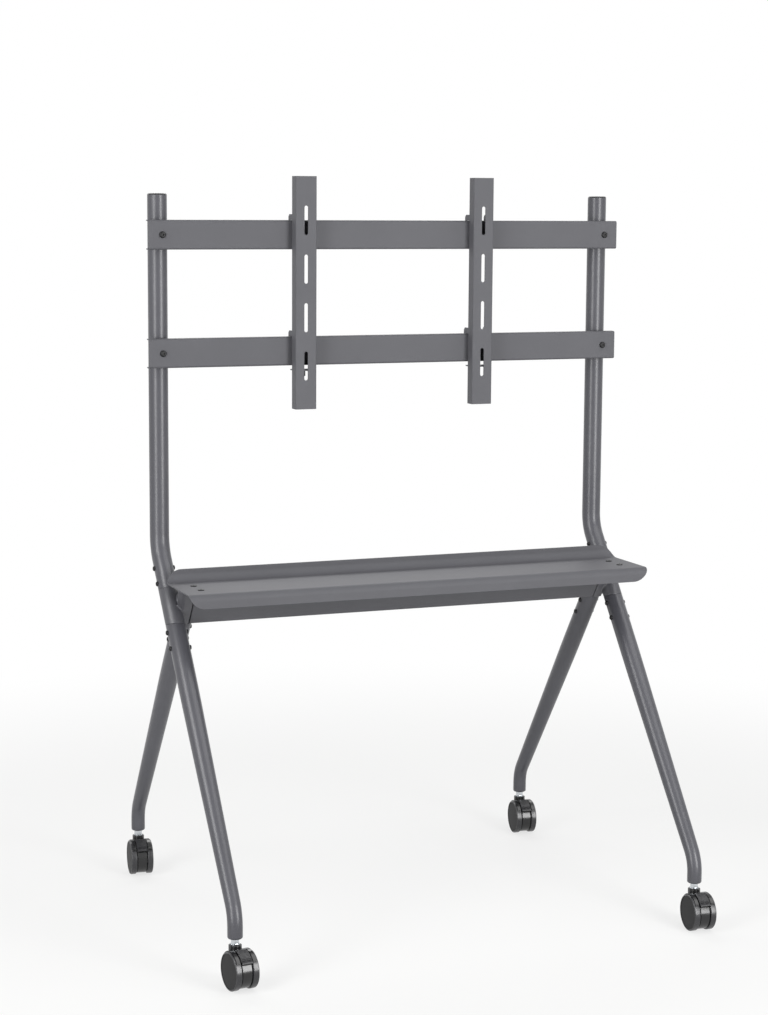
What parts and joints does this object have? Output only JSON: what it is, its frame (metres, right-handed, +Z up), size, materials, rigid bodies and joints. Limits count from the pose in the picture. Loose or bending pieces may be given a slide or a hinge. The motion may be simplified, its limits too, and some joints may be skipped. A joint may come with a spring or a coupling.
{
  "type": "mobile display stand",
  "caption": "Rolling floor stand: bent steel uprights on cast knuckles, splayed tapered legs, folded shelf, hanger rails with sliding arms, and hooded twin-wheel brake casters.",
  "frame": {"origin": "on the floor, under the centre of the stand's bounding box", "axes": "+X to the stand's right seen from the front, +Y to the rear, +Z up; the shelf and the arms' fixing faces look towards -Y"},
  "size_m": [1.06, 0.8657, 1.54],
  "materials": {
    "black_plastic": "glossy moulded nylon",
    "black_screw": "black oxide",
    "cap_plastic": "moulded, matte",
    "painted_casting": "satin powder coat over a cast surface",
    "painted_sheet": "satin powder coat, dark grey with a slight blue",
    "painted_tube": "satin powder coat, dark grey with a slight blue",
    "pedal_plastic": "moulded, ribbed",
    "wheel_plastic": "moulded nylon, glossy tread and matte disc",
    "zinc_steel": "bright zinc plate"
  },
  "bodies": {
    "frame": {"bolt_front_left_1": "black_screw", "bolt_front_left_2": "black_screw", "bolt_front_right_1": "black_screw", "bolt_front_right_2": "black_screw", "bolt_rear_left_1": "black_screw", "bolt_rear_left_2": "black_screw", "bolt_rear_right_1": "black_screw", "bolt_rear_right_2": "black_screw", "bolt_upright_left_1": "black_screw", "bolt_upright_left_2": "black_screw", "bolt_upright_right_1": "black_screw", "bolt_upright_right_2": "black_screw", "cap_left": "cap_plastic", "cap_right": "cap_plastic", "caster_front_left_stem": "zinc_steel", "caster_front_right_stem": "zinc_steel", "caster_rear_left_stem": "zinc_steel", "caster_rear_right_stem": "zinc_steel", "crossbeam": "painted_sheet", "knuckle_left": "painted_casting", "knuckle_right": "painted_casting", "leg_front_left": "painted_tube", "leg_front_right": "painted_tube", "leg_rear_left": "painted_tube", "leg_rear_right": "painted_tube", "rail_bolt_lower_left": "black_screw", "rail_bolt_lower_right": "black_screw", "rail_bolt_upper_left": "black_screw", "rail_bolt_upper_right": "black_screw", "rail_lower": "painted_sheet", "rail_upper": "painted_sheet", "shelf": "painted_sheet", "shelf_bolt_left_1": "black_screw", "shelf_bolt_left_2": "black_screw", "shelf_bolt_right_1": "black_screw", "shelf_bolt_right_2": "black_screw", "upright_left": "painted_tube", "upright_right": "painted_tube"},
    "hanger_arm_left": {"hanger_arm_left": "painted_sheet"},
    "hanger_arm_right": {"hanger_arm_right": "painted_sheet"},
    "caster_front_left": {"caster_front_left_body": "black_plastic", "caster_front_left_axle": "zinc_steel"},
    "caster_front_left_wheel_left": {"caster_front_left_wheel_left": "wheel_plastic"},
    "caster_front_left_wheel_right": {"caster_front_left_wheel_right": "wheel_plastic"},
    "caster_front_left_pedal": {"caster_front_left_pedal": "pedal_plastic"},
    "caster_front_right": {"caster_front_right_body": "black_plastic", "caster_front_right_axle": "zinc_steel"},
    "caster_front_right_wheel_left": {"caster_front_right_wheel_left": "wheel_plastic"},
    "caster_front_right_wheel_right": {"caster_front_right_wheel_right": "wheel_plastic"},
    "caster_front_right_pedal": {"caster_front_right_pedal": "pedal_plastic"},
    "caster_rear_left": {"caster_rear_left_body": "black_plastic", "caster_rear_left_axle": "zinc_steel"},
    "caster_rear_left_wheel_left": {"caster_rear_left_wheel_left": "wheel_plastic"},
    "caster_rear_left_wheel_right": {"caster_rear_left_wheel_right": "wheel_plastic"},
    "caster_rear_left_pedal": {"caster_rear_left_pedal": "pedal_plastic"},
    "caster_rear_right": {"caster_rear_right_body": "black_plastic", "caster_rear_right_axle": "zinc_steel"},
    "caster_rear_right_wheel_left": {"caster_rear_right_wheel_left": "wheel_plastic"},
    "caster_rear_right_wheel_right": {"caster_rear_right_wheel_right": "wheel_plastic"},
    "caster_rear_right_pedal": {"caster_rear_right_pedal": "pedal_plastic"}
  },
  "joints": [
    {"name": "hanger_arm_left_slide", "type": "slide", "parent": "frame", "child": "hanger_arm_left", "axis": [1, 0, 0], "range_m": [-0.23, 0.14]},
    {"name": "hanger_arm_right_slide", "type": "slide", "parent": "frame", "child": "hanger_arm_right", "axis": [1, 0, 0], "range_m": [-0.14, 0.23]},
    {"name": "caster_front_left_swivel", "type": "hinge", "parent": "frame", "child": "caster_front_left", "pos_m": [-0.5, -0.37, 0.0815], "axis": [0, 0, 1], "continuous": true},
    {"name": "caster_front_left_spin_left", "type": "hinge", "parent": "caster_front_left", "child": "caster_front_left_wheel_left", "pos_m": [-0.51504, -0.39401, 0.0375], "axis": [0.9925, 0.1219, 0], "continuous": true},
    {"name": "caster_front_left_spin_right", "type": "hinge", "parent": "caster_front_left", "child": "caster_front_left_wheel_right", "pos_m": [-0.4796, -0.38966, 0.0375], "axis": [0.9925, 0.1219, 0], "continuous": true},
    {"name": "caster_front_left_brake", "type": "hinge", "parent": "caster_front_left", "child": "caster_front_left_pedal", "pos_m": [-0.49692, -0.39506, 0.07466], "axis": [0.9925, 0.1219, 0], "range_deg": [0, 5]},
    {"name": "caster_front_right_swivel", "type": "hinge", "parent": "frame", "child": "caster_front_right", "pos_m": [0.5, -0.37, 0.0815], "axis": [0, 0, 1], "continuous": true},
    {"name": "caster_front_right_spin_left", "type": "hinge", "parent": "caster_front_right", "child": "caster_front_right_wheel_left", "pos_m": [0.48066, -0.3907, 0.0375], "axis": [0.9976, -0.0698, 0], "continuous": true},
    {"name": "caster_front_right_spin_right", "type": "hinge", "parent": "caster_front_right", "child": "caster_front_right_wheel_right", "pos_m": [0.51627, -0.39319, 0.0375], "axis": [0.9976, -0.0698, 0], "continuous": true},
    {"name": "caster_front_right_brake", "type": "hinge", "parent": "caster_front_right", "child": "caster_front_right_pedal", "pos_m": [0.49824, -0.39519, 0.07466], "axis": [0.9976, -0.0698, 0], "range_deg": [0, 5]},
    {"name": "caster_rear_left_swivel", "type": "hinge", "parent": "frame", "child": "caster_rear_left", "pos_m": [-0.471, 0.416, 0.0815], "axis": [0, 0, 1], "continuous": true},
    {"name": "caster_rear_left_spin_left", "type": "hinge", "parent": "caster_rear_left", "child": "caster_rear_left_wheel_left", "pos_m": [-0.49105, 0.39599, 0.0375], "axis": [0.9945, -0.1045, 0], "continuous": true},
    {"name": "caster_rear_left_spin_right", "type": "hinge", "parent": "caster_rear_left", "child": "caster_rear_left_wheel_right", "pos_m": [-0.45555, 0.39225, 0.0375], "axis": [0.9945, -0.1045, 0], "continuous": true},
    {"name": "caster_rear_left_brake", "type": "hinge", "parent": "caster_rear_left", "child": "caster_rear_left_pedal", "pos_m": [-0.47364, 0.39089, 0.07466], "axis": [0.9945, -0.1045, 0], "range_deg": [0, 5]},
    {"name": "caster_rear_right_swivel", "type": "hinge", "parent": "frame", "child": "caster_rear_right", "pos_m": [0.471, 0.416, 0.0815], "axis": [0, 0, 1], "continuous": true},
    {"name": "caster_rear_right_spin_left", "type": "hinge", "parent": "caster_rear_right", "child": "caster_rear_right_wheel_left", "pos_m": [0.4506, 0.39634, 0.0375], "axis": [0.9925, -0.1219, 0], "continuous": true},
    {"name": "caster_rear_right_spin_right", "type": "hinge", "parent": "caster_rear_right", "child": "caster_rear_right_wheel_right", "pos_m": [0.48604, 0.39199, 0.0375], "axis": [0.9925, -0.1219, 0], "continuous": true},
    {"name": "caster_rear_right_brake", "type": "hinge", "parent": "caster_rear_right", "child": "caster_rear_right_pedal", "pos_m": [0.46792, 0.39094, 0.07466], "axis": [0.9925, -0.1219, 0], "range_deg": [0, 5]}
  ]
}
